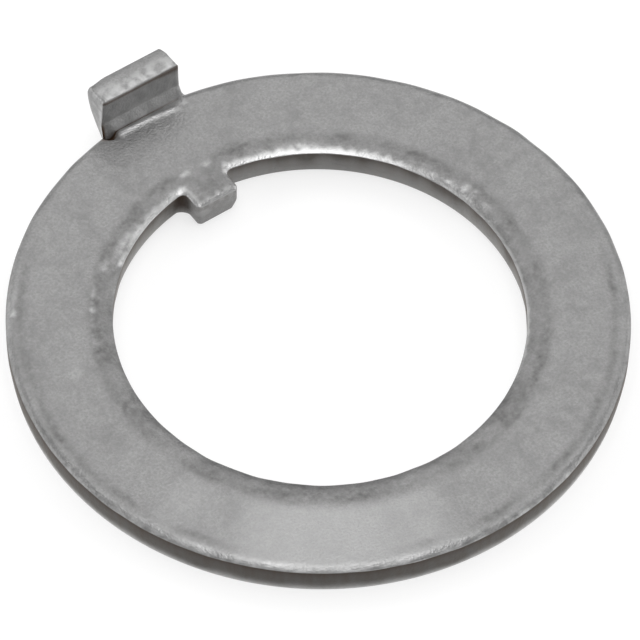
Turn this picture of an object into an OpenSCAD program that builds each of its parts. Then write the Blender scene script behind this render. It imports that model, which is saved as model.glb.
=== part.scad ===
// Retaining ring for a keyed shaft, pressed as one piece from steel strip.
// It is blanked flat, with a tang in the bore and a tab on the rim, and the tab is then folded up.
// The tang drops into a keyway in the shaft, and the tab stands in a notch of the nut or hub.
// The origin is on the bore's axis at the underside. +Z is the side that the tab stands on, and
// +Y runs through the tang and the tab. Sizes are in millimetres.

/* [Ring] */
// Outside diameter over the rim
rim_d = 28.8; // [27:0.1:36]
// Diameter of the bore at its narrow upper part
bore_d = 19.1; // [14:0.1:21]
// Thickness of the steel strip
sheet_t = 1.6; // [1.2:0.1:2]
// Distance from the bore's axis to the rim's own centre, towards the tab
rim_shift = 0.13; // [0:0.01:0.3]

/* [Punched edges] */
// Width of the rounding that the die leaves along the top of the rim
rim_roll_w = 0.44; // [0.2:0.02:0.7]
// Depth of the rounding along the top of the rim
rim_roll_d = 0.19; // [0.05:0.01:0.2]
// Width of the rounding that the punch leaves along the top of the bore
bore_roll_w = 0.56; // [0.2:0.02:0.8]
// Depth of the rounding along the top of the bore
bore_roll_d = 0.16; // [0.05:0.01:0.2]
// Height of the torn zone at the foot of the rim's wall
rim_tear_h = 0.55; // [0.2:0.05:0.8]
// How far the torn zone of the rim falls back at the underside
rim_tear_w = 0.07; // [0.02:0.01:0.15]
// Height of the torn zone at the foot of the bore's wall
bore_tear_h = 0.7; // [0.2:0.05:0.8]
// How far the torn zone of the bore falls back at the underside
bore_tear_w = 0.16; // [0.02:0.01:0.2]

/* [Inner tang] */
// Width of the tang
tang_w = 2.3; // [1.5:0.1:4]
// How far the tang stands in from the bore's wall
tang_l = 1.31; // [0.8:0.01:2.5]
// Radius of the two corners at the tang's tip
tang_tip_r = 0.25; // [0.1:0.05:0.5]
// Radius of the two corners where the tang leaves the bore
tang_root_r = 0.3; // [0.1:0.05:0.5]

/* [Outer tab] */
// Width of the tab
tab_w = 4.1; // [3:0.1:6]
// Height of the tab's end above the underside of the ring
tab_h = 3.6; // [3:0.1:6]
// Thickness of the tab, which the fold thins a little
tab_t = 1.44; // [1.2:0.02:1.6]
// Outside radius of the fold under the tab
fold_r = 2; // [1.5:0.05:2.1]
// Distance from the rim's highest point to the tab's inner face
face_gap = 0.04; // [0:0.01:0.1]
// Radius of the tab's two outer upright edges
tab_edge_r = 0.3; // [0.1:0.05:0.5]
// Radius of the two corners where the tab leaves the rim
tab_root_r = 0.25; // [0.1:0.05:0.4]

/* [Fold groove] */
// Distance from the rim to the inner edge of the groove pressed along the tab's foot
groove_w = 0.6; // [0.4:0.02:0.8]
// Distance from the rim to the lowest line of the groove, where the tab's inner face starts
foot_w = 0.08; // [0.02:0.01:0.15]
// Depth of the groove at its lowest line
groove_d = 0.18; // [0.1:0.01:0.3]
// Height of the line where the tab's inner face turns upright
ledge_h = 1.97; // [1.95:0.01:2.4]

/* [Hidden] */
$fn = 128;
rim_r = rim_d / 2;
bore_r = bore_d / 2;
rim_top_y = rim_shift + rim_r;
tang_tip_y = bore_r - tang_l;
tang_root_y = bore_r + bore_roll_w + 0.2;
foot_y = rim_top_y - foot_w;
foot_z = sheet_t - groove_d;
face_y = rim_top_y + face_gap;
tab_back_y = face_y + tab_t;
fold_y = tab_back_y - fold_r;
buried_y = rim_top_y - groove_w - 0.6;
buried_z = foot_z - 0.2;
tab_root_low_z = rim_tear_h;
tab_root_high_z = sheet_t - rim_roll_d;
over = 1;

// Radius of the arc that leaves a flat face tangentially and drops by depth over width
function roll_radius(width, depth) = (width * width + depth * depth) / (2 * depth);

// Half section of the blanked disc: flat top, rolled upper edge, upright wall, torn lower wall
module disc_section() {
    arc_r = roll_radius(rim_roll_w, rim_roll_d);
    flat_r = rim_r - rim_roll_w;
    wall_z = sheet_t - rim_roll_d;
    square([flat_r, sheet_t]);
    polygon([
        [0, 0], [rim_r - rim_tear_w, 0], [rim_r, rim_tear_h], [rim_r, wall_z], [0, wall_z]
    ]);
    intersection() {
        translate([flat_r, sheet_t - arc_r]) circle(arc_r);
        translate([flat_r, wall_z]) square([rim_roll_w, rim_roll_d]);
    }
}

// Half section of what the bore punch takes out, with the rolled upper and torn lower edges
module bore_section() {
    arc_r = roll_radius(bore_roll_w, bore_roll_d);
    flat_r = bore_r + bore_roll_w;
    low_r = bore_r + bore_tear_w;
    top_z = sheet_t + over;
    polygon([[0, -over], [low_r, -over], [low_r, 0], [bore_r, bore_tear_h], [bore_r, top_z], [0, top_z]]);
    difference() {
        translate([bore_r, sheet_t - bore_roll_d]) square([bore_roll_w, bore_roll_d + over]);
        translate([flat_r, sheet_t - arc_r]) circle(arc_r);
    }
}

// Plan of the tang, from its rounded tip to its root inside the ring
module tang_outline() {
    half = tang_w / 2;
    corner_x = half - tang_tip_r;
    corner_y = tang_tip_y + tang_tip_r;
    fillet_x = half + tang_root_r;
    fillet_y = sqrt(pow(bore_r - tang_root_r, 2) - pow(fillet_x, 2));
    flare_x = fillet_x * bore_r / (bore_r - tang_root_r);
    for (side = [-1, 1])
        translate([side * corner_x, corner_y]) circle(tang_tip_r);
    translate([-corner_x, tang_tip_y]) square([2 * corner_x, tang_tip_r]);
    translate([-half, corner_y]) square([tang_w, tang_root_y - corner_y]);
    difference() {
        translate([-flare_x, fillet_y]) square([2 * flare_x, tang_root_y - fillet_y]);
        for (side = [-1, 1])
            translate([side * fillet_x, fillet_y]) circle(tang_root_r);
    }
}

// Side section of the folded tab, with Y to the right and Z up
module tab_section() {
    difference() {
        intersection() {
            translate([buried_y, 0]) square([tab_back_y - buried_y, tab_h]);
            union() {
                translate([fold_y, fold_r]) circle(fold_r);
                translate([fold_y, fold_r]) square([fold_r, tab_h]);
                translate([buried_y, 0]) square([fold_y - buried_y, fold_r]);
            }
        }
        polygon([
            [buried_y - over, buried_z], [buried_y, buried_z], [foot_y, foot_z], [face_y, ledge_h],
            [face_y, tab_h + over], [buried_y - over, tab_h + over]
        ]);
    }
}

// Plan of the tab, with its two outer edges rounded
module tab_plan() {
    corner_x = tab_w / 2 - tab_edge_r;
    corner_y = tab_back_y - tab_edge_r;
    for (side = [-1, 1])
        translate([side * corner_x, corner_y]) circle(tab_edge_r);
    translate([-corner_x, buried_y]) square([2 * corner_x, tab_back_y - buried_y]);
    translate([-tab_w / 2, buried_y]) square([tab_w, corner_y - buried_y]);
}

// Tab and fold as one solid, reaching into the ring
module folded_tab() {
    intersection() {
        translate([-tab_w / 2, 0, 0]) rotate([90, 0, 90]) linear_extrude(tab_w) tab_section();
        translate([0, 0, -over]) linear_extrude(tab_h + 2 * over) tab_plan();
    }
}

// Small inside corners between the rim and the tab's two sides
module tab_root_corners() {
    fillet_x = tab_w / 2 + tab_root_r;
    reach = rim_r + tab_root_r;
    fillet_y = rim_shift + sqrt(pow(reach, 2) - pow(fillet_x, 2));
    flare_x = fillet_x * rim_r / reach;
    low_y = fillet_y - 3 * tab_root_r;
    translate([0, 0, tab_root_low_z])
        linear_extrude(tab_root_high_z - tab_root_low_z)
            difference() {
                translate([-flare_x, low_y]) square([2 * flare_x, fillet_y - low_y]);
                for (side = [-1, 1])
                    translate([side * fillet_x, fillet_y]) circle(tab_root_r);
            }
}

// Groove pressed into the top face along the rim, so that the tab folds on a sharp line
module fold_groove() {
    inner_r = rim_r - groove_w;
    foot_r = rim_r - foot_w;
    slope = groove_d / (foot_r - inner_r);
    outer_r = rim_r + over;
    intersection() {
        translate([0, rim_shift, 0])
            rotate_extrude()
                polygon([
                    [inner_r, sheet_t], [outer_r, sheet_t - slope * (outer_r - inner_r)],
                    [outer_r, sheet_t + over], [inner_r, sheet_t + over]
                ]);
        translate([-tab_w / 2, bore_r, 0]) cube([tab_w, rim_d, sheet_t + 2 * over]);
    }
}

// The whole ring: the bored disc, grooved along the fold, with its tang and its folded tab
module retaining_ring() {
    color([0.62, 0.62, 0.61]) {
        difference() {
            translate([0, rim_shift, 0]) rotate_extrude() disc_section();
            rotate_extrude() bore_section();
            fold_groove();
        }
        linear_extrude(sheet_t) tang_outline();
        tab_root_corners();
        folded_tab();
    }
}

retaining_ring();
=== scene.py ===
import math

import bmesh
import bpy
import numpy as np
from mathutils import Matrix, Vector


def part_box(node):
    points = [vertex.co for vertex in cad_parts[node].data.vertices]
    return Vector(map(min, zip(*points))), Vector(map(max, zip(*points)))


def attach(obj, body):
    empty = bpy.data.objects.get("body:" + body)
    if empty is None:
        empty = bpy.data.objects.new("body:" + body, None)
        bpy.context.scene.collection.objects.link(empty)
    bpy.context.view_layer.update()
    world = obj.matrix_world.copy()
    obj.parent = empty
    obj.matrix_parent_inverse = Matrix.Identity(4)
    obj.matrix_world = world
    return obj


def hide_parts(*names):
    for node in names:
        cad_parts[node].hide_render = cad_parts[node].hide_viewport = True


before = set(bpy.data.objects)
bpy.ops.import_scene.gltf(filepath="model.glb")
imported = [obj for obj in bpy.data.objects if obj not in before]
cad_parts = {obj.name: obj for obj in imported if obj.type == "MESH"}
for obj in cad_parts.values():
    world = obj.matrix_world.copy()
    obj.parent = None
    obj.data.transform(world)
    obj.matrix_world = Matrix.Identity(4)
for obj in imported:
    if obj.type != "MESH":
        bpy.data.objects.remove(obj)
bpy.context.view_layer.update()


# ------------------------------------------------------------------------------------------
# Retaining ring. It is one piece of 1.6 mm steel strip: a punch and a die cut it flat, with a
# keying tang left in the bore and a locking tab left on the rim, and the tab is folded up.
# It is made here in the same order, in millimetres, and ends as one closed skin.

# The blank's plan, with the tab still flat. +Y runs through the tang and the tab, and the
# tab's left side is the one towards -X.
MM = 0.001
low, high = (np.array(corner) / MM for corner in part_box("retaining_ring"))
RIM_R = (high[0] - low[0]) / 2
RIM_Y = low[1] + RIM_R            # the rim's centre lies a little off the bore's axis
BORE_R = 9.55
SHEET = 1.6
TANG_HALF = 1.15
TANG_TIP_Y = 8.24
TANG_TIP_R = 0.25
TANG_ROOT_R = 0.3
TAB_HALF = 2.05
TAB_ROOT_R = 0.25
TAB_TIP_R = 0.18
FOOT_Y = RIM_Y + RIM_R - 0.22     # line that the tab is folded up on
LEDGE_L = 0.66                    # length of the sloping strip above that line
FACE_Y = RIM_Y + RIM_R + 0.04     # upright inner face of the folded tab
LEDGE_Z = 2.08                    # height of the strip's upper end
TAB_L = LEDGE_L + high[2] - LEDGE_Z
TAB_TIP_Y = FOOT_Y + TAB_L

COLUMNS = 52                      # faces across the tang and across the tab
CROWDED = 0.6                     # how far those shrink towards both sides, 0 to 1
ROUND = 780                       # faces round the rest of the ring
CLOSER = 0.6                      # how much shorter those are beside the tang and the tab
CLOSER_PART = 0.02                # part of the turn over which that fades
ROOT_ROWS = 8                     # rows of faces at the root of the tang and of the tab
TANG_SIDE_ROWS = 12
TANG_TIP_ROWS = 8
TAB_LEDGE_ROWS = 6
TAB_SIDE_ROWS = 18
TAB_TIP_ROWS = 6
even = np.linspace(-1, 1, COLUMNS + 1)
across = (1 - CROWDED) * even + CROWDED * np.sin(even * math.pi / 2)
tang_angle = math.asin((TANG_HALF + TANG_ROOT_R) / (BORE_R - TANG_ROOT_R))
tab_angle = math.asin((TAB_HALF + TAB_ROOT_R) / (RIM_R + TAB_ROOT_R))


def smooth(value):
    """0 to 1 with soft ends."""
    value = np.clip(value, 0, 1)
    return value * value * (3 - 2 * value)


def rise(value, start, length):
    """0 up to a start, and 1 from a length past it."""
    return smooth((value - start) / length)


def fall(value, end, length):
    """1 up to a length short of an end, and 0 from the end on."""
    return smooth((end - value) / length)


def on_circle(radius, angle, centre_y=0.0):
    """Points on a circle in plan, by their angle from +Y towards -X."""
    return np.stack([-radius * np.sin(angle), centre_y + radius * np.cos(angle)], -1)


def corner_path(x, y, radius, start, end, count):
    """Edge points round a corner, without the first one; angles in degrees."""
    turn = np.radians(np.linspace(start, end, count + 1))[1:]
    return np.stack([x + radius * np.cos(turn), y + radius * np.sin(turn)], -1)


def side_path(x, start, end, count, ease=0.0):
    """Edge points down a straight side, without the first one, closer at its end by ease."""
    part = np.linspace(0, 1, count + 1)[1:]
    part = part + ease * np.sin(math.pi * part) / math.pi
    return np.stack([np.full(count, x), start + (end - start) * part], -1)


def lobe_plan(edge, bulge, shape, angle):
    """Rows of points across a tang or tab; each bulges by its bulge times the shape."""
    x = -edge[:, :1] * np.sin(angle * across) / math.sin(angle)
    y = edge[:, 1:] + bulge[:, None] * shape
    return np.stack([x, y], -1)


def lobe_part(edge):
    """0 at the start of the root, 1 from the root's end to the tip."""
    root = np.linspace(0, 1, ROOT_ROWS + 1)
    return np.concatenate([root, np.ones(len(edge) - ROOT_ROWS - 1)])


# Tang: root corner, side, tip corner
root_x = TANG_HALF + TANG_ROOT_R
root_y = math.sqrt((BORE_R - TANG_ROOT_R) ** 2 - root_x**2)
tang_start = np.abs(on_circle(BORE_R, tang_angle))
tang_turn = 90 - math.degrees(tang_angle)
tip_y = TANG_TIP_Y + TANG_TIP_R
tang_edge = np.concatenate([
    [tang_start],
    corner_path(root_x, root_y, TANG_ROOT_R, tang_turn, 180, ROOT_ROWS),
    side_path(TANG_HALF, root_y, tip_y, TANG_SIDE_ROWS),
    corner_path(TANG_HALF - TANG_TIP_R, tip_y, TANG_TIP_R, 0, -90, TANG_TIP_ROWS),
])
tang_part = lobe_part(tang_edge)
bore_arch = BORE_R * (np.cos(tang_angle * across) - math.cos(tang_angle))
tang_plan = lobe_plan(tang_edge, 1 - tang_part, bore_arch, tang_angle)

# Tab: root corner, side up to the ledge's top, side, tip corner
root_x = TAB_HALF + TAB_ROOT_R
root_y = RIM_Y + math.sqrt((RIM_R + TAB_ROOT_R) ** 2 - root_x**2)
tab_start = np.abs(on_circle(RIM_R, tab_angle, RIM_Y))
tab_turn = 270 - math.degrees(tab_angle)
tip_y = TAB_TIP_Y - TAB_TIP_R
tab_edge = np.concatenate([
    [tab_start],
    corner_path(root_x, root_y, TAB_ROOT_R, tab_turn, 180, ROOT_ROWS),
    side_path(TAB_HALF, root_y, FOOT_Y + LEDGE_L, TAB_LEDGE_ROWS),
    side_path(TAB_HALF, FOOT_Y + LEDGE_L, tip_y, TAB_SIDE_ROWS, ease=0.5),
    corner_path(TAB_HALF - TAB_TIP_R, tip_y, TAB_TIP_R, 0, 90, TAB_TIP_ROWS),
])
tab_part = lobe_part(tab_edge)
middle_y = np.maximum(FOOT_Y + (root_y - FOOT_Y) * tab_part, tab_edge[:, 1])
straight = 1 - np.abs(across) ** 8      # the root's rows turn down only at their ends
tab_plan = lobe_plan(tab_edge, middle_y - tab_edge[:, 1], straight, tab_angle)


def graded(length, first, growth, largest):
    """Parts of a length, 0 to 1, with short steps at both ends and longer ones between."""
    steps = [first]
    while sum(steps) < length / 2:
        steps.append(min(steps[-1] * growth, largest))
    half = np.concatenate([[0], np.cumsum(steps)]) / sum(steps) / 2
    return np.concatenate([half, 1 - half[-2::-1]])


# Ring: stations round it, each a row of points from the bore to the rim. They stand closer
# together beside the tang and the tab.
u = np.linspace(0, 1, 2001)
pace = 1 / (1 - CLOSER * (np.exp(-u / CLOSER_PART) + np.exp(-(1 - u) / CLOSER_PART)))
travel = np.concatenate([[0], np.cumsum((pace[1:] + pace[:-1]) / 2)])
turn_part = np.interp(np.linspace(0, travel[-1], ROUND + 1), travel, u)[1:-1]


def all_round(root_angle):
    """The stations' angles: across the tang or tab, then round the rest."""
    rest = root_angle + (2 * math.pi - 2 * root_angle) * turn_part
    return np.concatenate([root_angle * across, rest])


bore_angle = all_round(tang_angle)
rim_angle = all_round(tab_angle)
bore_plan = on_circle(BORE_R, bore_angle)
rim_plan = on_circle(RIM_R, rim_angle, RIM_Y)
rim_plan[: COLUMNS + 1] = tab_plan[0]
rows = graded(RIM_R - BORE_R, first=0.02, growth=1.12, largest=0.15)
ring_plan = bore_plan[:, None] + (rim_plan - bore_plan)[:, None] * rows[None, :, None]


def round_edge(ring_side, lobe):
    """The closed edge round the ring and its tang or tab, from what their grids hold."""
    return np.concatenate([
        ring_side[COLUMNS:], ring_side[:1], lobe[1:, 0], lobe[-1, 1:], lobe[-2:0:-1, -1]
    ])


inner_edge = round_edge(ring_plan[:, 0], tang_plan)
outer_edge = round_edge(ring_plan[:, -1], tab_plan)

# The cut edges. The die drags the top face down along both edges, then comes a burnished
# wall, and below it the steel tears away from the punch and leaves a rough foot.
FOOT_ROUND = 0.04
BORE = {
    "roll": (0.72, 0.17),         # width and depth of the rolled edge
    "tear": (0.7, 0.16),          # height and set-back of the torn foot
    "pale": (1.3, 0.8, 0.48),     # height that its light grey reaches, its fading and strength
    "shade_film": 0.35,                 # brown film and painted shade under the top edge
}
RIM = {"roll": (0.44, 0.19), "tear": (0.62, 0.07), "pale": (0.76, 2.4, 1.0), "shade_film": 0.6}
TANG = {
    "roll": (0.34, 0.13),
    "tear": (0.65, 0.14),
    "foot": (FOOT_ROUND, FOOT_ROUND),     # rounding of the bottom edge, at the sides and tip
    "clean": 0.75,                # how far its walls are as clean as the faces
    "lean": 0.25,                 # how much its roll grows for each millimetre towards +X
    "half": TANG_HALF,
    "tip_y": TANG_TIP_Y,
    "reach": 0.5,                 # distance from the tip over which the tip's set-back fades
    "centre_y": 0.0,
    "inward": 1,                  # 1 where the steel lies outside the ring's edge, -1 inside
}
TAB = {
    "roll": (0.2, 0.07),
    "tear": (0.5, 0.03),
    "foot": (0.28, 0.1),
    "clean": 1.0,
    "lean": 0.0,
    "half": TAB_HALF,
    "tip_y": TAB_TIP_Y,
    "reach": 0.6,
    "centre_y": RIM_Y,
    "inward": -1,
}


def bell(distance, width):
    """1 where the distance is 0, fading out over a few widths."""
    return np.exp(-((distance / width) ** 2))


def ripple(angle, slowest, fastest, seed):
    """A wavy line round the ring, mostly -1 to 1, with slowest to fastest waves a turn."""
    dice = np.random.default_rng(seed)
    waves = np.arange(slowest, fastest + 1)
    size = dice.normal(size=waves.size) * math.sqrt(1 / waves.size)
    phase = dice.uniform(0, 2 * math.pi, waves.size)
    return (size * np.cos(np.multiply.outer(angle, waves) + phase)).sum(-1)


def blend(ring_value, lobe_value, part):
    return ring_value + (lobe_value - ring_value) * part


def nearest(points, edge):
    """Distance from each point to an edge, and the number of the edge point it is nearest."""
    flat = points.reshape(-1, 2)
    far, which = np.empty(len(flat)), np.empty(len(flat), int)
    for start in range(0, len(flat), 2000):
        part = slice(start, start + 2000)
        gaps = ((flat[part, None] - edge[None]) ** 2).sum(-1)
        which[part] = gaps.argmin(1)
        far[part] = np.sqrt(gaps.min(1))
    return far.reshape(points.shape[:-1]), which.reshape(points.shape[:-1])


def rolled(distance, width, depth):
    """How far the die has dragged the face down at a distance from the edge."""
    radius = (width**2 + depth**2) / (2 * depth)
    inside = np.clip(1 - distance / width, 0, 1) * width
    return radius - np.sqrt(radius**2 - inside**2)


class Edge:
    """One cut edge: its plan, and the sizes of its roll, tear and foot at each point."""

    def __init__(self, line, angle, part, tip_part, ring, lobe, seed):
        loose = 1 - part
        lean = 1 + lobe["lean"] * line[:, 0]
        side, tip = lobe["foot"]
        pale_h, self.fade, pale = ring["pale"]
        self.line = line
        self.lobe = part
        self.roll_w = blend(ring["roll"][0], lobe["roll"][0] * lean, part)
        self.roll_w = self.roll_w * (1 + 0.16 * ripple(angle, 9, 40, seed) * loose)
        self.roll_d = blend(ring["roll"][1], lobe["roll"][1] * lean, part)
        self.roll_d = self.roll_d * (1 + 0.1 * ripple(angle, 7, 50, seed + 1) * loose)
        self.tear_h = blend(ring["tear"][0], lobe["tear"][0], part)
        self.tear_h = self.tear_h * (1 + 0.12 * ripple(angle, 5, 60, seed + 2))
        self.tear_w = blend(ring["tear"][1], lobe["tear"][1], part)
        self.foot = blend(blend(FOOT_ROUND, side, part), tip, tip_part)
        self.wall = 1 - lobe["clean"] * part
        self.pale_h = pale_h * (1 + 0.12 * ripple(angle, 6, 50, seed + 3))
        self.pale = pale * self.wall
        self.shade_film = ring["shade_film"] * self.wall


def lobe_angle(root_angle, edge):
    """Angles along a tang's or tab's edge, carrying on from the ring's."""
    return np.broadcast_to(root_angle * across, (len(edge), COLUMNS + 1))


def lobe_rows(part):
    return np.broadcast_to(part[:, None], (len(part), COLUMNS + 1))


def tip_rows(edge, corner_rows):
    """1 along the tip of a tang or tab, 0 down its sides and at its fuller left corner."""
    part = np.zeros(len(edge))
    part[-corner_rows:] = np.linspace(0, 1, corner_rows + 1)[1:]
    return part[:, None] * fall(across, 1, 0.45)


no_lobe = np.zeros(len(bore_plan))
tang_tip = tip_rows(tang_edge, TANG_TIP_ROWS)
tab_tip = tip_rows(tab_edge, TAB_TIP_ROWS)
bore_cut = Edge(
    inner_edge, round_edge(bore_angle, lobe_angle(tang_angle, tang_edge)),
    round_edge(no_lobe, lobe_rows(smooth(tang_part))), round_edge(no_lobe, tang_tip),
    BORE, TANG, seed=11,
)
rim_cut = Edge(
    outer_edge, round_edge(rim_angle, lobe_angle(tab_angle, tab_edge)),
    round_edge(no_lobe, lobe_rows(smooth(tab_part))), round_edge(no_lobe, tab_tip),
    RIM, TAB, seed=23,
)

RIDGE_H = 0.006                   # a faint raised line that follows the bore
RIDGE_AT = 0.82                   # its distance from the bore
RIDGE_W = 0.14
SWELL_H = 0.006                   # the strip is never quite flat


def top_face(plan):
    """Height of the blank's top face, the distances to its two edges, its bore edge point."""
    to_bore, at_bore = nearest(plan, bore_cut.line)
    to_rim, at_rim = nearest(plan, rim_cut.line)
    height = SHEET - rolled(to_bore, bore_cut.roll_w[at_bore], bore_cut.roll_d[at_bore])
    height = height - rolled(to_rim, rim_cut.roll_w[at_rim], rim_cut.roll_d[at_rim])
    angle = np.arctan2(-plan[..., 0], plan[..., 1])
    ridge = RIDGE_H + RIDGE_H * ripple(angle, 1, 7, 31)
    ridge = np.clip(ridge, 0, None) * (1 - bore_cut.lobe[at_bore])
    height = height + ridge * bell(to_bore - RIDGE_AT, RIDGE_W)
    height = height + SWELL_H * ripple(angle, 2, 9, 37) * np.clip(to_bore, 0, 1)
    return height, to_bore, at_bore, to_rim


# The fold. A groove is pressed along the tab's foot, and the tab is bent up square on it. The
# outside of the bend stays a round of 2 mm and is drawn a little narrower, and the tool has
# bruised a small pocket into the corner at the groove's left end.
FOLD_R = 2.0
FOLD_Y = high[1] - FOLD_R
BEAD_R = RIM_R - 0.555            # crest of the raised bead along the groove
BEAD_SLOPE = 0.08                 # how much further out it lies for each millimetre to the left
BEAD_H = 0.055
BEAD_W = 0.17
BEAD_ENDS = ((-2.0, 0.5), (1.9, 0.7))     # x of each end, and the length it fades out over
GROOVE_D = 0.12
GROOVE_ENDS = ((-2.5, 0.25), (2.2, 0.5))
POCKET = (-2.08, 14.24)
POCKET_R = 0.3
POCKET_D = 0.42
WIDER = 0.14                      # how much further out the tab's left side stands
LEFT_FLARE = 0.12                 # widening from the tab's tip to its foot, for each millimetre
RIGHT_FLARE = 0.03                # of its half width
LEFT_TIP = 0.01                   # narrowing at the left side of the tip
WAIST = 0.09                      # narrowing of the tab's outer face
LEFT_FULL = 0.07                  # how much less that is at the left side near the tip


def between_ends(x, ends):
    """1 between two ends and 0 beyond them."""
    (left, left_fade), (right, right_fade) = ends
    return rise(x, left, left_fade) * fall(x, right, right_fade)


def past_bead(x, y):
    """Distance outwards from the bead's crest."""
    return np.hypot(x, y - RIM_Y) - BEAD_R + BEAD_SLOPE * x


def groove(x, y):
    """How far the groove and the pocket lie below the top face."""
    from_crest = past_bead(x, y)
    past_crest = np.clip(from_crest, 0, None)
    part = past_crest / (past_crest + np.clip(FOOT_Y - y, 0, None) + 0.001)
    down = GROOVE_D * part**2 * rise(past_crest, 0, 0.15)
    bead = BEAD_H * bell(from_crest, BEAD_W) * between_ends(x, BEAD_ENDS)
    pocket = np.hypot(x - POCKET[0], y - POCKET[1]) / POCKET_R
    length = between_ends(x, GROOVE_ENDS) * (y > 0)
    return (down - bead) * length + POCKET_D * (1 - rise(pocket, 0.35, 1))


def fold_up(plan, height):
    """Takes points of the flat blank to their places on the grooved and folded ring."""
    x, y = plan[..., 0], plan[..., 1]
    through = height / SHEET
    past = y - FOOT_Y
    x = x - WIDER * rise(past, -0.8, 0.7) * fall(x, 0, 1.5)

    # The flat part, whose underside already lifts a little at the start of the bend
    coined = SHEET - groove(x, np.minimum(y, FOOT_Y))
    bend = np.clip(y, FOLD_Y, FOOT_Y) - FOLD_Y
    lift = (FOLD_R - np.sqrt(FOLD_R**2 - bend**2)) * fall(np.abs(x), 2.5, 0.4)
    flat = np.stack([x, y, coined * through + lift * (1 - through)], -1)

    # The tab: its inner face goes up the ledge, its outer face round the bend
    on_ledge = np.clip(past / LEDGE_L, 0, 1)
    above = np.clip(past - LEDGE_L, 0, None)
    inner_y = FOOT_Y + (FACE_Y - FOOT_Y) * on_ledge
    inner_z = coined + (LEDGE_Z - coined) * on_ledge + above
    start = math.asin((FOOT_Y - FOLD_Y) / FOLD_R)
    bend_l = FOLD_R * (math.pi / 2 - start)
    travel = past / TAB_L * (bend_l + high[2] - FOLD_R)
    angle = np.clip(start + travel / FOLD_R, 0, math.pi / 2)
    outer_y = FOLD_Y + FOLD_R * np.sin(angle)
    outer_z = FOLD_R - FOLD_R * np.cos(angle) + np.clip(travel - bend_l, 0, None)
    to_end = np.clip((TAB_L - past) / TAB_L, 0, 1)
    flare = np.where(x < 0, LEFT_FLARE * to_end - LEFT_TIP, RIGHT_FLARE * to_end)
    spread = flare * rise(past, 0, 0.15) * (0.3 + 0.7 * through)
    waist = WAIST * rise(past, 0, 0.3) * smooth(to_end * 1.3)
    full = np.where(x < 0, LEFT_FULL, 0.0) * smooth(1.2 - 2 * to_end)
    narrow = (waist - full) * (1 - through)
    up = np.stack([
        x * (1 + spread - narrow),
        outer_y + (inner_y - outer_y) * through,
        outer_z + (inner_z - outer_z) * through,
    ], -1)
    return np.where((past > 0)[..., None], up, flat)


# The mesh. The top face, the walls down both edges and the underside are grids of four-sided
# faces that share their edge points. Each point also carries marks, from 0 to about 1, that
# the steel's finish is mixed by.
# Some marks carry painted light as well: highlights on the lip, roll, crest and in glints, and
# shade in the dull bands and the brown film.
MARKS = ["lip_highlight", "roll", "dull_and_shade", "lighter_patch", "struck", "scuff_and_glint", "wall", "torn", "soil"]
points, marks, quads = [], [], []


def add_points(places, **mark):
    """Stores a grid of points with its marks, and gives their numbers."""
    first = sum(len(p) for p in points)
    points.append(places.reshape(-1, 3))
    shape = places.shape[:-1]
    marks.append(np.stack([
        np.broadcast_to(mark.get(name, 0.0), shape).ravel() for name in MARKS
    ], -1))
    return np.arange(first, first + places[..., 0].size).reshape(shape)


def add_faces(number, closed=False):
    """Joins a grid of points with faces; a closed grid also joins its last row to its first."""
    if closed:
        number = np.concatenate([number, number[:1]])
    quads.append(np.stack([
        number[:-1, :-1], number[:-1, 1:], number[1:, 1:], number[1:, :-1]
    ], -1).reshape(-1, 4))


NEAR_SIDE_ANGLE = math.radians(146)      # middle of the side towards the camera: a lighter patch on the top face, and the rolled rim's painted highlight
LIP_ANGLE = math.radians(-20)         # middle of the stretch of the bore's lip that carries a painted highlight
WIDE_LIP_ANGLE = LIP_ANGLE + 0.15     # middle of the stretch where that is widest
THIN_LIP_ANGLE = math.radians(-75)    # middle of the stretch where it is less so
BORE_BAND = (0.95, 0.45)              # end of the dull band round the bore, and its fading
RIM_BAND = (0.68, 0.22)               # middle and width of the band of painted shade beside the rim
CREST_ENDS = ((-1.85, 0.4), (1.7, 0.6))   # x of the ends of the crest's painted highlight, and their fading
# tool marks, with painted highlight on the crest, groove, ledge and upright face
STRUCK = {"crest": 1.3, "groove": 0.55, "ledge": 0.36, "upright": 0.3, "ledge_top": 0.8}
TAB_ROUGH = 0.4
# light scuffs, and painted glints along the bore's lip and the ridge
SCUFFS_AND_GLINTS = (                            # angle, distance from the bore, length, width, strength
    (3, 0.75, 2.0, 0.16, 0.6), (-3.5, 0.7, 1.5, 0.16, 0.6), (7, 0.12, 1.5, 0.12, 0.9),
    (27, 0.1, 10, 0.1, 1.1), (17, 0.13, 2.0, 0.13, 1.2), (26.5, 0.14, 2.4, 0.13, 1.3),
    (31, 0.13, 1.8, 0.12, 1.2), (37, 0.13, 2.6, 0.12, 1.1), (32, 0.42, 6, 0.2, 0.55),
    (40.7, 0.75, 2.0, 0.18, 0.5), (50.3, 0.96, 2.4, 0.12, 0.4), (54.7, 0.95, 1.0, 0.14, 0.8),
    (58, 0.93, 3.0, 0.1, 0.45), (64, 0.95, 2.0, 0.14, 0.3), (-30, 0.4, 4, 0.14, 0.7),
    (-73, 0.32, 3.0, 0.12, 0.7), (-77.7, 0.5, 1.2, 0.3, 0.75), (-80.5, 0.5, 0.8, 0.3, 0.7),
    (-79.5, 0.18, 3.5, 0.1, 0.8), (-85.5, 0.45, 1.4, 0.2, 0.5), (-68, 0.25, 3, 0.14, 0.6),
    (51.9, 4.62, 2.0, 0.16, 0.35), (55.8, 4.58, 1.2, 0.16, 0.6), (72, 2.2, 2, 0.3, 0.3),
    (136.5, 4.55, 3.5, 0.16, 0.7), (123, 4.55, 2.0, 0.14, 0.5), (161, 4.55, 2.5, 0.14, 0.6),
)
STAINS = (
    (25, 0.95, 1.8, 0.2, 0.7), (31.5, 0.95, 2.2, 0.2, 0.8), (43, 0.7, 2.0, 0.28, 0.8),
    (-38, 0.8, 3.0, 0.16, 0.6), (-58, 0.8, 2.5, 0.16, 0.5), (-93, 0.8, 3.0, 0.2, 0.6),
)


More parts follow.
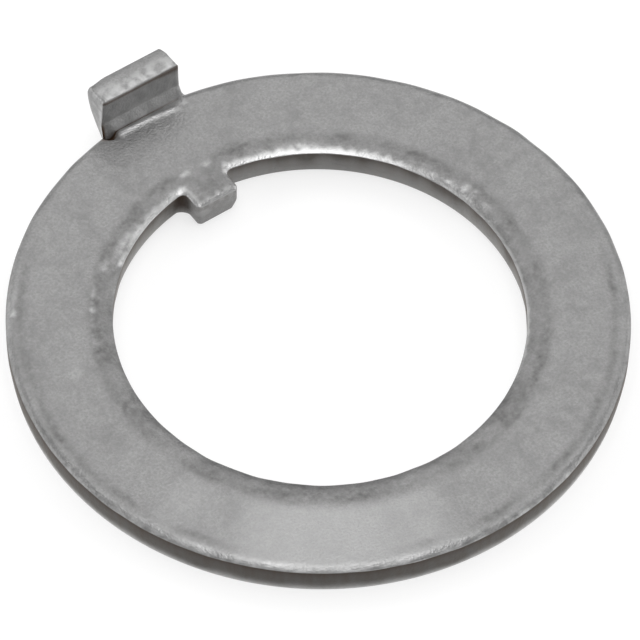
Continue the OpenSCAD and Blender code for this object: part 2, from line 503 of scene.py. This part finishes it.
def spots(places, angle, from_bore):
    """Small marks on the top face, each fading out along and across the ring."""
    mark = np.zeros_like(angle)
    for middle, distance, length, width, strength in places:
        along = (np.degrees(angle) - middle) / length
        out = (from_bore - distance) / width
        mark = np.maximum(mark, strength * np.exp(-(along**2) - out**2))
    return mark


def wear(to_bore, at_bore, to_rim, plan):
    """Marks of the die and of tumbling, with painted light: dull bands and stains, painted shade
    by the rim, a lighter patch, scuffs and glints, and painted highlights on the roll and lip.
    """
    angle = np.arctan2(-plan[..., 0], plan[..., 1])
    from_bore = np.hypot(plan[..., 0], plan[..., 1]) - BORE_R
    turn = np.cos(angle - NEAR_SIDE_ANGLE)
    end, fading = BORE_BAND
    end = end + 0.07 * ripple(angle, 3, 40, 41)
    bore_dull = (1 - rise(to_bore, end, fading)) * (0.85 + 0.2 * ripple(angle, 2, 20, 47))
    bore_dull = bore_dull * (0.8 + 0.45 * bell(to_bore - 0.85, 0.22))
    middle, width = RIM_BAND
    middle = middle + 0.05 * ripple(angle, 3, 30, 43)
    # painted shade in a band beside the rim, left off on the far side
    rim_shade = bell(to_rim - middle, width) * (0.85 + 0.25 * ripple(angle, 3, 24, 53))
    rim_shade = rim_shade * rise(turn, -0.45, 0.4) * (1 - rise(turn, 0.93, 0.07))
    lighter_patch = rise(turn + 0.03 * ripple(angle, 4, 20, 59), 0.83, 0.18)
    on_roll = 1 - rise(to_rim, -0.04, 0.44)
    # painted highlight on the rolled rim, on the side towards the camera
    highlit = rise(turn + 0.06 * ripple(angle, 5, 30, 67), 0.45, 0.4)
    # painted shade on the rolled rim at the left and right
    roll_shade = 0.85 * on_roll * (1 - turn**2) * (1 - highlit)
    dull_and_shade = np.maximum(np.maximum(bore_dull, rim_shade), roll_shade)
    dull_and_shade = np.maximum(dull_and_shade, spots(STAINS, angle, from_bore))
    # painted highlight along the bore's lip, strongest on the far side
    bright = rise(np.cos(angle - LIP_ANGLE) + 0.06 * ripple(angle, 5, 30, 61), 0.3, 0.8)
    bright = np.maximum(bright, 0.35 * rise(np.cos(angle - THIN_LIP_ANGLE), 0.2, 0.4))
    lip_width = 0.12 + 0.27 * rise(np.cos(angle - WIDE_LIP_ANGLE), 0.4, 0.4)
    lip_width = lip_width * (1 + 0.28 * ripple(angle, 20, 110, 73))
    lip_highlight = (1 - rise(to_bore, 0.04, lip_width)) * bright
    past = plan[..., 1] - FOOT_Y
    return {
        "lip_highlight": lip_highlight * (1 - 0.55 * bore_cut.lobe[at_bore]),
        "roll": on_roll * (0.1 + 0.9 * highlit) * (past < 0),
        "dull_and_shade": np.clip(dull_and_shade, 0, 1) * (1 - rise(past, -0.3, 0.1)),
        "lighter_patch": lighter_patch * rise(to_bore, 0.9, 0.8),
        "scuff_and_glint": spots(SCUFFS_AND_GLINTS, angle, from_bore),
    }


def strike(plan):
    """Marks of the folding tool with painted highlight: bright crest, groove, ledge and ledge top,
    and a rougher tab.
    """
    x, y = plan[..., 0], plan[..., 1]
    past = y - FOOT_Y
    crest = past_bead(x, y)
    on_tab = rise(past, -0.1, 0.1)
    on_crest = bell(crest + 0.03, 0.13) * between_ends(x, CREST_ENDS)
    in_groove = rise(crest, 0.02, 0.08) * fall(np.abs(x), 2.2, 0.3)
    struck = np.maximum(STRUCK["crest"] * on_crest, STRUCK["groove"] * in_groove) * (y > 0)
    up_tab = np.where(past < LEDGE_L, STRUCK["ledge"], STRUCK["upright"])
    struck = np.maximum(struck, on_tab * up_tab)
    struck = np.maximum(struck, STRUCK["ledge_top"] * bell(past - LEDGE_L, 0.06))
    return {"struck": struck, "torn": TAB_ROUGH * on_tab}


def painted_shade(plan):
    """Painted shade with a brown tint in the groove's deepest line, in the pocket and the corner
    above it, and a painted shadow under the tab's end.
    """
    x, y = plan[..., 0], plan[..., 1]
    past = y - FOOT_Y
    # painted shade along the groove's deepest line
    foot = bell(past + 0.01, 0.055) * fall(np.abs(x), 2.1, 0.4)
    foot = foot * (0.8 - 0.35 * rise(x, 0.3, 1.2))
    # painted shade in the pocket and the corner above it, with a brown tint
    pocket = np.hypot((x + 2.02) / 0.5, (y - 14.2) / 0.3)
    corner = np.hypot((x + 2.05) / 0.2, (past - 0.35) / 0.5)
    shade_film = np.maximum(1 - rise(pocket, 0.3, 1), 1 - rise(corner, 0.3, 1))
    # painted shadow under the tab's end
    to_tip = TAB_TIP_Y - y
    thick = 0.1 + 0.14 * rise(x, 0.4, 1.4)
    shadow_under_end = 0.8 * bell(to_tip - 0.1 - thick / 3, thick) * (to_tip > 0.03)
    return {"soil": np.clip(foot + shade_film + shadow_under_end, 0, 1)}


tops = {}
for name, plan in (("ring", ring_plan), ("tang", tang_plan), ("tab", tab_plan)):
    height, to_bore, at_bore, to_rim = top_face(plan)
    tops[name] = height
    number = add_points(
        fold_up(plan, height), **wear(to_bore, at_bore, to_rim, plan), **strike(plan), **painted_shade(plan)
    )
    add_faces(number, closed=name == "ring")

BURNISHED_ROWS = 6                # rows of faces down the walls
TORN_ROWS = 4
FOOT_ROWS = 4
UNDER_ROWS = 16                   # rows of points across the underside
ROUGH = 0.012                     # unevenness of the torn foot
NOTCH = (-1.4, 9.25)              # corner beside the tang, darkened with painted shade
NOTCH_R = 0.34


def draw_in(plan, part, lobe):
    """Direction in plan in which an edge steps back as it goes down."""
    radial = plan - np.array([0.0, lobe["centre_y"]])
    radial = lobe["inward"] * radial / np.linalg.norm(radial, axis=-1, keepdims=True)
    near_tip = smooth(1 - np.abs(plan[..., 1] - lobe["tip_y"]) / lobe["reach"])
    square = np.stack([-plan[..., 0] / lobe["half"], lobe["inward"] * near_tip], -1)
    part = part[..., None]
    return radial * (1 - part) + square * part


def wall(cut, top_height, back):
    """Rows of points down a cut edge, from the top face to the underside."""
    dice = np.random.default_rng(5)
    scraped = rise(ripple(cut.line[:, 0], 3, 14, 71), -0.3, 0.6)
    # painted shade in the corner beside the tang
    notch_shade = bell(np.hypot(cut.line[:, 0] - NOTCH[0], cut.line[:, 1] - NOTCH[1]), NOTCH_R)
    levels = []

    def add_level(height, set_back, **mark):
        """Stores a row, with the wall's lighter grey rising from the bottom."""
        pale = np.clip(1 - height / cut.pale_h, 0, 1) ** cut.fade * cut.pale
        place = cut.line + back * set_back[:, None]
        levels.append((place, height, {"wall": cut.wall, "torn": pale, **mark}))

    # Clean walls are polished at the top and scraped bright in places
    for part in (np.arange(1, BURNISHED_ROWS + 1) / BURNISHED_ROWS) ** 1.4:
        # brown film and painted shade darken the top of each wall
        add_level(
            blend(top_height, cut.tear_h, part), np.zeros(len(cut.line)),
            soil=np.maximum(cut.shade_film * (1 - part) ** 2.5, notch_shade),
            roll=0.9 * (1 - cut.wall) * (1 - part) ** 0.5,
            struck=0.7 * (1 - cut.wall) ** 2 * bell(part, 0.35) * scraped,
        )
    for part in np.arange(1, TORN_ROWS + 1) / TORN_ROWS:
        rough = ROUGH * dice.normal(size=len(cut.line)) * (part < 1) * (1 - cut.lobe)
        add_level(
            blend(cut.tear_h, cut.foot, part), cut.tear_w * part**1.2 + np.abs(rough),
            soil=notch_shade * (1 - part),
        )
    for part in np.arange(1, FOOT_ROWS + 1) / FOOT_ROWS:
        turned = part * math.pi / 2
        set_back = cut.tear_w + cut.foot * (1 - math.cos(turned))
        add_level(cut.foot * (1 - math.sin(turned)), set_back)
    return levels


for cut, lobe, edge_height in (
    (bore_cut, TANG, round_edge(tops["ring"][:, 0], tops["tang"])),
    (rim_cut, TAB, round_edge(tops["ring"][:, -1], tops["tab"])),
):
    back = draw_in(cut.line, cut.lobe, lobe)
    levels = [(cut.line, edge_height, {})] + wall(cut, edge_height, back)
    numbers = [add_points(fold_up(plan, height), **mark) for plan, height, mark in levels]
    add_faces(np.stack(numbers, 1), closed=True)


def lobe_foot(plan, part, tip_part, ring, lobe):
    """Plan of the underside of a tang or tab, stepped back from its edges."""
    part = smooth(part)
    side, tip = lobe["foot"]
    width = blend(ring["tear"][1], lobe["tear"][1], part)[:, None]
    foot = blend(blend(FOOT_ROUND, side, part)[:, None], tip, tip_part)
    return plan + draw_in(plan, lobe_rows(part), lobe) * (width + foot)[..., None]


tang_foot = lobe_foot(tang_plan, tang_part, tang_tip, BORE, TANG)
tab_foot = lobe_foot(tab_plan, tab_part, tab_tip, RIM, TAB)
foot_rows = rows[np.unique(np.linspace(0, len(rows) - 1, UNDER_ROWS).round().astype(int))]
bore_foot = on_circle(BORE_R + BORE["tear"][1] + FOOT_ROUND, bore_angle)
rim_foot = on_circle(RIM_R - RIM["tear"][1] - FOOT_ROUND, rim_angle, RIM_Y)
rim_foot[: COLUMNS + 1] = tab_foot[0]
ring_foot = bore_foot[:, None] + (rim_foot - bore_foot)[:, None] * foot_rows[None, :, None]
for name, plan in (("ring", ring_foot), ("tang", tang_foot), ("tab", tab_foot)):
    number = add_points(fold_up(plan, np.zeros(plan.shape[:-1])))
    add_faces(number[:, ::-1], closed=name == "ring")

# Points that two grids share become one point
SAME_PLACE = 0.0005               # how close they have to lie
places = np.concatenate(points)
keys = np.round(places / SAME_PLACE).astype(int)
_, first_use, number = np.unique(keys, axis=0, return_index=True, return_inverse=True)
faces = number.ravel()[np.concatenate(quads)]

mesh = bpy.data.meshes.new("retaining_ring_steel")
mesh.from_pydata((places[first_use] * MM).tolist(), [], faces.tolist())
for column, name in enumerate(MARKS):
    layer = mesh.attributes.new(name, "FLOAT", "POINT")
    layer.data.foreach_set("value", np.concatenate(marks)[first_use, column].astype(np.float32))
skin = bmesh.new()
skin.from_mesh(mesh)
bmesh.ops.recalc_face_normals(skin, faces=skin.faces)
skin.to_mesh(mesh)
skin.free()
mesh.shade_smooth()
ring = bpy.data.objects.new("retaining_ring_steel", mesh)
bpy.context.scene.collection.objects.link(ring)
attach(ring, "root")
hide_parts("retaining_ring")


# The finish is tumbled steel: matt grey faces, duller where the die rolled them down, brighter
# where the tumbling stones or the folding tool reached, darker burnished walls that turn lighter
# towards the bottom, and brown film where dirt has stayed. Over that lie painted highlights on
# the bore's lip, the rolled rim's near side, the bead's crest and glints on the top face, and
# painted shade along the rim's sides, in the groove, the pocket, the notch and under top edges.
def grey(value, warmth=0.0):
    return (value * (1 + warmth), value, value * (1 - warmth), 1)


DARK_STEEL = grey(0.25, 0.003)
STEEL = grey(0.32, 0.003)
LIGHT_STEEL = grey(0.36, 0.005)
PITS = grey(0.19, 0.005)
# dull stains and bands, and painted shade
DULL_AND_SHADED_STEEL = grey(0.13, 0.01)
# lighter patch on the top face's near side
PATCH_STEEL = grey(0.55)
# polish, and painted highlight along the rolled rim's near side
POLISH_AND_HIGHLIGHT = grey(0.5)
# tool marks and painted highlight
STRUCK_AND_HIGHLIGHT_STEEL = grey(0.7)
# scuffs and painted glints
SCUFF_AND_GLINT_STEEL = grey(0.65)
# painted highlight on the bore's lip
LIP_HIGHLIGHT = grey(0.68)
DARK_CUT = grey(0.14, 0.1)
CUT = grey(0.17, 0.04)
TORN_STEEL = grey(0.75, 0.005)
# brown film, laid mostly as painted shade in creases, hollows and under edges
BROWN_FILM_AND_SHADE = (0.06, 0.035, 0.02, 1)

steel = bpy.data.materials.new("tumbled_steel")
steel.use_nodes = True
mesh.materials.append(steel)
tree = steel.node_tree
shader = tree.nodes["Principled BSDF"]


def node(kind, **settings):
    """A new node of the steel with some of its settings made."""
    made = tree.nodes.new(kind)
    for name, value in settings.items():
        setattr(made, name, value)
    return made


def feed(socket, value):
    """Links a socket to another one, or sets it to a plain value."""
    if isinstance(value, bpy.types.NodeSocket):
        tree.links.new(value, socket)
    else:
        socket.default_value = value


def times(first, second):
    made = node("ShaderNodeMath", operation="MULTIPLY")
    feed(made.inputs[0], first)
    feed(made.inputs[1], second)
    return made.outputs[0]


def between(part, low_end, high_end):
    """A colour or a number part of the way from one to another."""
    plain = isinstance(low_end, float) or isinstance(high_end, float)
    made = node("ShaderNodeMix", data_type="FLOAT" if plain else "RGBA")
    first = 0 if plain else 4
    feed(made.inputs[0], part)
    feed(made.inputs[first + 2], low_end)
    feed(made.inputs[first + 3], high_end)
    return made.outputs[0 if plain else 2]


def amount(name):
    """How much of a mark each point carries."""
    return node("ShaderNodeAttribute", attribute_name=name).outputs["Fac"]


def grain(size, detail, low_end, high_end, stretch=(1, 1, 1)):
    """Mottling of a size in millimetres, spread from 0 to 1 between two of its levels."""
    spread = node("ShaderNodeMapping")
    tree.links.new(node("ShaderNodeTexCoord").outputs["Object"], spread.inputs["Vector"])
    spread.inputs["Scale"].default_value = stretch
    noise = node("ShaderNodeTexNoise")
    tree.links.new(spread.outputs["Vector"], noise.inputs["Vector"])
    noise.inputs["Scale"].default_value = 1 / (size * MM)
    noise.inputs["Detail"].default_value = detail
    ramp = node("ShaderNodeMapRange", clamp=True)
    feed(ramp.inputs["Value"], noise.outputs["Fac"])
    ramp.inputs["From Min"].default_value = low_end
    ramp.inputs["From Max"].default_value = high_end
    return ramp.outputs["Result"]


clouds = grain(2.5, 2, 0.3, 0.7)
mottle = grain(0.6, 3, 0.36, 0.64)
speck = grain(0.11, 2, 0.3, 0.7)
patches = grain(0.5, 3, 0.42, 0.6)
stipple = grain(0.32, 3, 0.3, 0.66)
blotch = grain(1.3, 3, 0.38, 0.62)
scratches = grain(0.3, 2, 0.25, 0.7)
scores = grain(0.3, 4, 0.3, 0.7, stretch=(1, 1, 0.25))

# Colour: the faces with their painted highlights and shade, then the cut walls, then the film and
# painted shade over both
face = between(clouds, DARK_STEEL, STEEL)
face = between(times(mottle, 0.7), face, LIGHT_STEEL)
face = between(times(speck, 0.5), face, PITS)
dull_and_shade = times(amount("dull_and_shade"), between(stipple, 1.0, 0.4))
dull_and_shade = times(dull_and_shade, between(blotch, 0.4, 1.0))
face = between(dull_and_shade, face, DULL_AND_SHADED_STEEL)
face = between(times(amount("lighter_patch"), 0.4), face, PATCH_STEEL)
face = between(times(amount("roll"), between(patches, 0.08, 1.0)), face, POLISH_AND_HIGHLIGHT)
face = between(times(amount("struck"), between(mottle, 0.45, 0.8)), face, STRUCK_AND_HIGHLIGHT_STEEL)
face = between(times(amount("scuff_and_glint"), scratches), face, SCUFF_AND_GLINT_STEEL)
highlight = amount("lip_highlight")
face = between(highlight, face, LIP_HIGHLIGHT)
cut_wall = between(scores, DARK_CUT, CUT)
cut_wall = between(amount("torn"), cut_wall, TORN_STEEL)
colour = between(amount("wall"), face, cut_wall)
feed(shader.inputs["Base Color"], between(amount("soil"), colour, BROWN_FILM_AND_SHADE))

# The dark walls, and the film and painted shade, shine less like metal than the faces do
metal = between(amount("wall"), 0.85, 0.08)
metal = between(amount("torn"), metal, 0.65)
feed(shader.inputs["Metallic"], between(amount("soil"), metal, 0.1))
rough = between(mottle, 0.36, 0.44)
rough = between(highlight, rough, 0.3)
rough = between(amount("wall"), rough, 0.5)
rough = between(amount("torn"), rough, 0.65)
feed(shader.inputs["Roughness"], between(amount("soil"), rough, 0.8))
shader.inputs["Specular IOR Level"].default_value = 0.05
bump = node("ShaderNodeBump")
bump.inputs["Strength"].default_value = 0.4
bump.inputs["Distance"].default_value = 0.03 * MM
feed(bump.inputs["Height"], speck)
feed(shader.inputs["Normal"], bump.outputs["Normal"])


# ------------------------------------------------------------------------------------------
# Camera, floor and light. The camera looks down on the ring from the side away from the tab.
# The ring lies on a sheet of pale paper, lit from above and from all four sides.
AZIMUTH = math.radians(-36.5)
ELEVATION = math.radians(53.32)
ROLL = math.radians(1.64)
DISTANCE = 239.2 * MM
LENS = 290.7
AIM_RIGHT = 0.09 * MM             # the point looked at, beside the rim's centre
AIM_UP = 0.56 * MM

backwards = Vector((
    math.sin(AZIMUTH) * math.cos(ELEVATION),
    -math.cos(AZIMUTH) * math.cos(ELEVATION),
    math.sin(ELEVATION),
))
right = Vector((math.cos(AZIMUTH), math.sin(AZIMUTH), 0))
up = backwards.cross(right)
tilted_right = math.cos(ROLL) * right + math.sin(ROLL) * up
tilted_up = math.cos(ROLL) * up - math.sin(ROLL) * right
ring_centre = Vector((0, RIM_Y * MM, 0))
place = ring_centre + backwards * DISTANCE
aim = ring_centre + tilted_right * AIM_RIGHT + tilted_up * AIM_UP
backwards = (place - aim).normalized()
tilted_right = tilted_up.cross(backwards).normalized()
tilted_up = backwards.cross(tilted_right)

camera_data = bpy.data.cameras.new("camera")
camera_data.lens = LENS
camera_data.sensor_width = 36
camera_data.clip_start = 0.01
camera_data.clip_end = 10
camera = bpy.data.objects.new("camera", camera_data)
bpy.context.scene.collection.objects.link(camera)
turned = Matrix((tilted_right, tilted_up, backwards)).transposed().to_4x4()
camera.matrix_world = Matrix.Translation(place) @ turned
bpy.context.scene.camera = camera

PAPER_HALF = 0.6
PAPER_Z = -0.01 * MM              # just clear of the underside
PAPER = (0.36, 0.36, 0.36, 1)
PAPER_WHITE = 0.66                # what the camera and the steel see on top of that
floor_mesh = bpy.data.meshes.new("floor")
floor_mesh.from_pydata([
    (-PAPER_HALF, -PAPER_HALF, 0), (PAPER_HALF, -PAPER_HALF, 0),
    (PAPER_HALF, PAPER_HALF, 0), (-PAPER_HALF, PAPER_HALF, 0),
], [], [(0, 1, 2, 3)])
floor = bpy.data.objects.new("floor", floor_mesh)
floor.location.z = PAPER_Z
bpy.context.scene.collection.objects.link(floor)
paper = bpy.data.materials.new("pale_floor")
paper.use_nodes = True
floor_mesh.materials.append(paper)
paper_nodes = paper.node_tree.nodes
paper_links = paper.node_tree.links
paper_nodes.clear()
path = paper_nodes.new("ShaderNodeLightPath")
rays = path.outputs["Is Camera Ray"]
for kind in ("Is Glossy Ray", "Is Transmission Ray"):
    added = paper_nodes.new("ShaderNodeMath")
    added.operation = "ADD"
    paper_links.new(rays, added.inputs[0])
    paper_links.new(path.outputs[kind], added.inputs[1])
    rays = added.outputs[0]
white = paper_nodes.new("ShaderNodeMath")
white.operation = "MULTIPLY"
white.inputs[1].default_value = PAPER_WHITE
paper_links.new(rays, white.inputs[0])
glow = paper_nodes.new("ShaderNodeEmission")
paper_links.new(white.outputs[0], glow.inputs["Strength"])
matt = paper_nodes.new("ShaderNodeBsdfDiffuse")
matt.inputs["Color"].default_value = PAPER
both = paper_nodes.new("ShaderNodeAddShader")
paper_links.new(glow.outputs["Emission"], both.inputs[0])
paper_links.new(matt.outputs["BSDF"], both.inputs[1])
surface = paper_nodes.new("ShaderNodeOutputMaterial")
paper_links.new(both.outputs["Shader"], surface.inputs["Surface"])

# Lamps face the ring; side is the angle round from the camera's side. The steel doesn't
# mirror the two fills, which would wash out its face at low angles.
LAMP_DISTANCE = 0.6
LAMPS = (      # name, side and elevation in degrees, width, length, brightness, mirrored
    ("overhead", 0, 87, 0.44, 0.44, 2.4, True),
    ("back_card", 180, 44, 1.0, 0.46, 1.2, True),
    ("left_card", -102, 18, 0.8, 0.36, 1.8, True),
    ("left_fill", -102, 18, 0.8, 0.36, 2.5, False),
    ("right_card", 102, 18, 0.8, 0.36, 1.8, True),
    ("right_fill", 102, 18, 0.8, 0.36, 2.5, False),
    ("front_card", 0, 50, 0.6, 0.35, 0.9, True),
)
for name, side, elevation, width, length, brightness, mirrored in LAMPS:
    lamp_data = bpy.data.lights.new(name, "AREA")
    lamp_data.shape = "RECTANGLE"
    lamp_data.size = width
    lamp_data.size_y = length
    lamp_data.energy = brightness * math.pi * width * length
    turn = AZIMUTH + math.radians(side)
    tilt = math.radians(elevation)
    outwards = Vector((
        math.sin(turn) * math.cos(tilt), -math.cos(turn) * math.cos(tilt), math.sin(tilt)
    ))
    lamp = bpy.data.objects.new(name, lamp_data)
    lamp.location = outwards * LAMP_DISTANCE
    lamp.rotation_euler = outwards.to_track_quat("Z", "Y").to_euler()
    lamp.visible_glossy = mirrored
    bpy.context.scene.collection.objects.link(lamp)

world = bpy.data.worlds.new("studio")
bpy.context.scene.world = world
world.use_nodes = True
world.node_tree.nodes["Background"].inputs["Color"].default_value = (0.12, 0.12, 0.12, 1)
world.node_tree.nodes["Background"].inputs["Strength"].default_value = 1.0

bpy.context.scene.view_settings.view_transform = "Standard"
